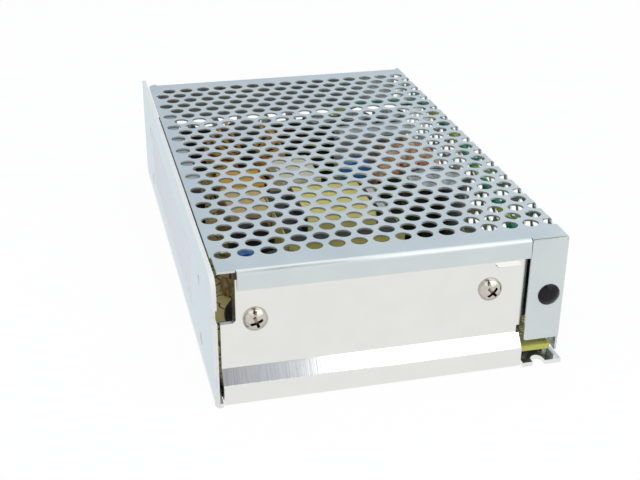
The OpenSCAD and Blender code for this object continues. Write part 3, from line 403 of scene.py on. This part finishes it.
def board_laminate():
    """Tan laminate, olive towards the right, printed outlines above, solder below."""
    material, tree, shader = new_material("board_laminate")
    axes = axes_of(tree)
    corner = inside(tree, axes, TAN_CORNER)
    warp = noise(tree, THREADS_PER_M, WARP)
    threads = combine(tree, "ADD", warp, noise(tree, THREADS_PER_M, WEFT))
    cloth = spread(tree, threads, 0, 1, THREAD_SPAN)
    tan = ramp(tree, cloth, ((236, 219, 138), (246, 231, 158)), SHARE_SPAN)
    olive = ramp(tree, cloth, ((178, 180, 74), (196, 198, 92)), SHARE_SPAN)
    joints = noise(tree, scale=450)
    solder = ramp(tree, joints, ((116, 128, 98), (196, 202, 190)), SOLDER_SPAN)
    ink = ramp(tree, noise(tree, scale=900), ((46, 42, 28), (66, 60, 40)))
    tones = blend(tree, spread(tree, axes["X"], 0, 1, OLIVE_SPAN), tan, olive)
    tones = blend(tree, corner, tones, tan)
    tones = blend(tree, inside(tree, axes, SOLDER_SIDE), tones, solder)
    printed = combine(tree, "ADD", inside(tree, axes, PRINTED_PART), corner)
    printed = combine(tree, "MULTIPLY", printed, inside(tree, axes, BOARD_FACE))
    printed = combine(tree, "MULTIPLY", printed, printed_outlines(tree))
    tree.links.new(blend(tree, printed, tones, ink), shader.inputs["Base Color"])
    tree.links.new(spread(tree, warp, *BOARD_ROUGH), shader.inputs["Roughness"])
    relief(tree, shader, threads, THREAD_DEPTH)
    return material


# Stripe of the earth lead: bands per metre, and where in a band its yellow starts
STRIPES_PER_M = 26
STRIPE_SPAN = (0.0, 0.76)
LEAD_ROUGH = (0.34, 0.46)


def earth_insulation():
    """Green insulation with a yellow stripe that winds along the lead."""
    material, tree, shader = new_material("earth_insulation")
    place = tree.nodes.new("ShaderNodeTexCoord")
    wave = tree.nodes.new("ShaderNodeTexWave")
    wave.bands_direction = "DIAGONAL"
    wave.inputs["Scale"].default_value = STRIPES_PER_M
    tree.links.new(place.outputs["Object"], wave.inputs["Vector"])
    green_yellow = ((20, 140, 110), (176, 196, 54))
    stripes = ramp(tree, wave.outputs["Fac"], green_yellow, STRIPE_SPAN, sharp=True)
    tree.links.new(stripes, shader.inputs["Base Color"])
    rough = spread(tree, noise(tree, scale=600), *LEAD_ROUGH)
    tree.links.new(rough, shader.inputs["Roughness"])
    return material


FINISHES = {slot: finish(slot, **look) for slot, look in PLAIN_FINISHES.items()}
FINISHES["aluminium_sheet"] = aluminium_sheet()
FINISHES["nickel_steel"] = nickel_steel()
FINISHES["board_laminate"] = board_laminate()
FINISHES["earth_insulation"] = earth_insulation()

# Finish of single nodes that differ from their slot
OWN_FINISHES = {
    "rectifier_heatsink": finish(
        "dull_aluminium",
        tones=((170, 182, 190), (188, 198, 205)), rough=(0.45, 0.6), scale=300,
        metallic=0.15, grain=(1200, 0.004, ALONG_X),
    ),
}

# Edges of the CAD solids: slot, width of the rounded edge in mm
EDGE_WIDTHS = {
    "aluminium_sheet": 0.08,
    "galvanised_sheet": 0.06,
    "nickel_steel": 0.1,
    "black_moulding": 0.25,
    "blue_moulding": 0.25,
    "cream_moulding": 0.3,
    "yellow_box": 0.6,
    "tan_box": 0.6,
    "dark_ferrite": 0.3,
    "enamelled_wire": 0.42,
    "bright_wire": 0.5,
    "board_laminate": 0.08,
    "tinned_metal": 0.06,
}
WELD_GAP = 0.0005
EDGE_STEPS = 2
SHARP_ANGLE = 0.7


def soften(item, width):
    """Joins the split corners of a CAD mesh and rounds its sharp edges."""
    weld = item.modifiers.new("weld", "WELD")
    weld.merge_threshold = WELD_GAP * MM
    bevel = item.modifiers.new("edges", "BEVEL")
    bevel.width = width * MM
    bevel.segments = EDGE_STEPS
    bevel.limit_method = "ANGLE"
    bevel.angle_limit = SHARP_ANGLE
    bevel.use_clamp_overlap = True
    bevel.harden_normals = False


for part in record["subparts"]:
    item = nodes[part["node"]]
    slot = part["material_slot"]
    item.data.materials.clear()
    item.data.materials.append(OWN_FINISHES.get(part["node"], FINISHES[slot]))
    if slot in EDGE_WIDTHS:
        soften(item, EDGE_WIDTHS[slot])


# Bare paper sticker on the right yoke of the transformer

# In mm: how far its sides lie in from the right and rear of the core, corners, thickness
STICKER_IN_X = (5.1, 0.4)
STICKER_IN_Y = (21, 4)
STICKER_RADIUS = 0.6
STICKER_THICK = 0.1
CORNER_STEPS = 5


def rounded_outline(low, high, radius):
    """Points round a rectangle with rounded corners, counter-clockwise."""
    points = []
    for number, (x, y) in enumerate(
        ((high[0], high[1]), (low[0], high[1]), (low[0], low[1]), (high[0], low[1]))
    ):
        centre = (
            x - radius if x == high[0] else x + radius,
            y - radius if y == high[1] else y + radius,
        )
        for step in range(CORNER_STEPS + 1):
            turn = math.pi / 2 * (number + step / CORNER_STEPS)
            points.append(
                (centre[0] + radius * math.cos(turn), centre[1] + radius * math.sin(turn))
            )
    return points


def sticker(name, outline, z, thick, material):
    """Thin closed label with the given outline, lying at height z."""
    form = bmesh.new()
    base = form.faces.new([form.verts.new((x, y, z)) for x, y in outline])
    grown = bmesh.ops.extrude_face_region(form, geom=[base], use_keep_orig=True)
    top = [part for part in grown["geom"] if isinstance(part, bmesh.types.BMVert)]
    bmesh.ops.translate(form, verts=top, vec=(0, 0, thick))
    bmesh.ops.recalc_face_normals(form, faces=form.faces)
    mesh = bpy.data.meshes.new(name)
    form.to_mesh(mesh)
    form.free()
    mesh.materials.append(material)
    item = bpy.data.objects.new(name, mesh)
    bpy.context.collection.objects.link(item)
    return item


label_paper = finish(
    "label_paper",
    tones=((236, 235, 232), (246, 245, 242)), rough=(0.42, 0.55), scale=600,
    grain=(1800, 0.006, EVEN),
)
core_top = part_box("transformer_core")[1]
sticker_low, sticker_high = (
    (core_top.x - in_x * MM, core_top.y - in_y * MM)
    for in_x, in_y in zip(STICKER_IN_X, STICKER_IN_Y)
)
core_sticker = sticker(
    "transformer_sticker",
    rounded_outline(sticker_low, sticker_high, STICKER_RADIUS * MM),
    core_top.z, STICKER_THICK * MM, label_paper,
)
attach(core_sticker, "case")


# Camera at the photograph's viewpoint

CAMERA_AT = Vector((-81.769, -317.945, 167.358)) * MM
CAMERA_RIGHT = Vector((0.96817, -0.25001, 0.0119016))
CAMERA_UP = Vector((0.1004377, 0.4316217, 0.8964458))
CAMERA_AHEAD = Vector((0.2292577, 0.8667165, -0.4429936))
FRAME_W = 640
FOCAL_PX = 1113.732
AXIS_PX = 329
SENSOR_W = 36
CLIP_START = 0.01

lens = bpy.data.cameras.new("camera")
lens.sensor_width = SENSOR_W
lens.lens = FOCAL_PX / FRAME_W * SENSOR_W
lens.shift_x = (FRAME_W / 2 - AXIS_PX) / FRAME_W
lens.clip_start = CLIP_START
camera = bpy.data.objects.new("camera", lens)
axes = Matrix((CAMERA_RIGHT, CAMERA_UP, -CAMERA_AHEAD)).transposed()
camera.matrix_world = Matrix.Translation(CAMERA_AT) @ axes.to_4x4()
bpy.context.collection.objects.link(camera)
bpy.context.scene.camera = camera


# Studio: white floor and background, soft boxes, and cards that the metal reflects

WORLD_TINT = (238, 243, 250)
WORLD_STRENGTH = 0.62

# Share of plain white that camera, glossy and transmission rays see
WORLD_SHARES = (1, 1, 1)
FLOOR_SHARES = (0.94, 1, 1)
FLOOR_TINT = (244, 244, 244)
FLOOR_ROUGH = 0.9
FLOOR_X = (-3.0, 3.0)
FLOOR_Y = (-3.0, 3.0)
FLOOR_Z = -0.05 * MM

# Lamps, all turned to one point: name, place, width and height in metres, watts, and
# whether reflections show them
AIM = (0, 0, 0.02)
LAMPS = (
    ("key_light", (0.35, -0.37, 0.52), (0.7, 0.62), 0.85, True),
    ("fill_light", (-0.42, -0.36, 0.46), (0.5, 0.54), 1.0, False),
    ("top_light", (0.02, -0.1, 0.95), (2.0, 1.8), 4.8, True),
)

# Cards, in metres, with the tones of their left and right ends. The pale one behind is for
# the top, those in the gap between the lamps and the far ones for the folds and screw
# heads, and the one on the floor for the left wall.
BACK_X = (-0.6, 1.3)
BACK_Y = 1.0
BACK_Z = (0.02, 1.1)
BACK_TONES = ((168, 184, 205), (238, 246, 255))
GAP_X = (-0.08, 0.054)
GAP_BENDS = ((-0.35, 0.22), (-0.28, 0.29), (-0.21, 0.33))
GAP_TONES = (
    ((28, 30, 34), (226, 229, 234)),
    ((70, 66, 62), (110, 106, 102)),
)
FAR_X = ((-0.30, 0.06), (-0.22, 0.04), (-0.13, 0.01), (-0.11, -0.01))
FAR_BENDS = ((-0.65, 0.59), (-0.48, 0.71), (-0.25, 0.80), (-0.01, 0.82))
FAR_TONES = ((58, 54, 50), (70, 66, 60))
SIDE_X = (-0.3, -0.049)
SIDE_Y = (-0.1, 0.3)
SIDE_Z = FLOOR_Z / 2
SIDE_TONES = ((216, 228, 236), (222, 233, 240))


def seen_as_white(tree, shares):
    """Share of plain white that a camera, glossy or transmission ray sees."""
    path = tree.nodes.new("ShaderNodeLightPath")
    total = None
    for ray, share in zip(("Is Camera Ray", "Is Glossy Ray", "Is Transmission Ray"), shares):
        part = tree.nodes.new("ShaderNodeMath")
        part.operation = "MULTIPLY_ADD"
        part.use_clamp = True
        part.inputs[1].default_value = share
        part.inputs[2].default_value = 0
        tree.links.new(path.outputs[ray], part.inputs[0])
        if total is not None:
            tree.links.new(total, part.inputs[2])
        total = part.outputs[0]
    return total


def make_world():
    """White to the camera and in reflections, softer as a lamp."""
    world = bpy.data.worlds.new("studio")
    bpy.context.scene.world = world
    world.use_nodes = True
    tree = world.node_tree
    lamp = tree.nodes["Background"]
    lamp.inputs["Color"].default_value = srgb(*WORLD_TINT)
    lamp.inputs["Strength"].default_value = WORLD_STRENGTH
    white = tree.nodes.new("ShaderNodeBackground")
    white.inputs["Strength"].default_value = 1.0
    white.inputs["Color"].default_value = (1, 1, 1, 1)
    mix = tree.nodes.new("ShaderNodeMixShader")
    tree.links.new(seen_as_white(tree, WORLD_SHARES), mix.inputs["Fac"])
    tree.links.new(lamp.outputs[0], mix.inputs[1])
    tree.links.new(white.outputs[0], mix.inputs[2])
    tree.links.new(mix.outputs[0], tree.nodes["World Output"].inputs["Surface"])


def strip(low_x, low, high_x, high):
    """Corners between two edges along X, each an X range and a (Y, Z) place."""
    return [(low_x[0], *low), (low_x[1], *low), (high_x[1], *high), (high_x[0], *high)]


def plate(name, corners, material):
    """Flat four-cornered piece of the studio."""
    mesh = bpy.data.meshes.new(name)
    mesh.from_pydata(corners, [], [range(4)])
    mesh.materials.append(material)
    item = bpy.data.objects.new(name, mesh)
    bpy.context.collection.objects.link(item)
    return item


def floor_paint():
    """Pale floor that reads as white and keeps a faint shadow."""
    material, tree, shader = new_material("floor")
    shader.inputs["Base Color"].default_value = srgb(*FLOOR_TINT)
    shader.inputs["Roughness"].default_value = FLOOR_ROUGH
    glow = tree.nodes.new("ShaderNodeEmission")
    glow.inputs["Strength"].default_value = 1.0
    mix = tree.nodes.new("ShaderNodeMixShader")
    tree.links.new(seen_as_white(tree, FLOOR_SHARES), mix.inputs["Fac"])
    tree.links.new(shader.outputs[0], mix.inputs[1])
    tree.links.new(glow.outputs[0], mix.inputs[2])
    tree.links.new(mix.outputs[0], tree.nodes["Material Output"].inputs["Surface"])
    return material


def card(name, corners, tones):
    """Studio card that only reflections show, toned from its left to its right end."""
    material, tree, _ = new_material(name)
    ends = (corners[0][0], corners[1][0])
    across = spread(tree, axes_of(tree)["X"], 0, 1, ends)
    glow = tree.nodes.new("ShaderNodeEmission")
    tree.links.new(ramp(tree, across, tones, SHARE_SPAN), glow.inputs["Color"])
    tree.links.new(glow.outputs[0], tree.nodes["Material Output"].inputs["Surface"])
    item = plate(name, corners, material)
    item.visible_camera = False
    item.visible_diffuse = False
    item.visible_transmission = False
    item.visible_shadow = False


def soft_box(name, place, size, power, in_reflections):
    """Rectangular area lamp at a place, turned towards the part."""
    data = bpy.data.lights.new(name, "AREA")
    data.shape = "RECTANGLE"
    data.size, data.size_y = size
    data.energy = power
    item = bpy.data.objects.new(name, data)
    item.location = place
    item.rotation_euler = (Vector(AIM) - Vector(place)).to_track_quat("-Z", "Y").to_euler()
    item.visible_glossy = in_reflections
    bpy.context.collection.objects.link(item)


make_world()
plate(
    "floor",
    strip(FLOOR_X, (FLOOR_Y[0], FLOOR_Z), FLOOR_X, (FLOOR_Y[1], FLOOR_Z)),
    floor_paint(),
)
for lamp in LAMPS:
    soft_box(*lamp)
card("back_card", strip(BACK_X, (BACK_Y, BACK_Z[0]), BACK_X, (BACK_Y, BACK_Z[1])), BACK_TONES)
for number, (low, high, tones) in enumerate(zip(GAP_BENDS, GAP_BENDS[1:], GAP_TONES)):
    card("gap_card_%d" % number, strip(GAP_X, low, GAP_X, high), tones)
far_rows = list(zip(FAR_X, FAR_BENDS))
for number, (low_row, high_row) in enumerate(zip(far_rows, far_rows[1:])):
    card("far_card_%d" % number, strip(*low_row, *high_row), FAR_TONES)
card("side_card", strip(SIDE_X, (SIDE_Y[0], SIDE_Z), SIDE_X, (SIDE_Y[1], SIDE_Z)), SIDE_TONES)

bpy.context.scene.view_settings.view_transform = "Standard"
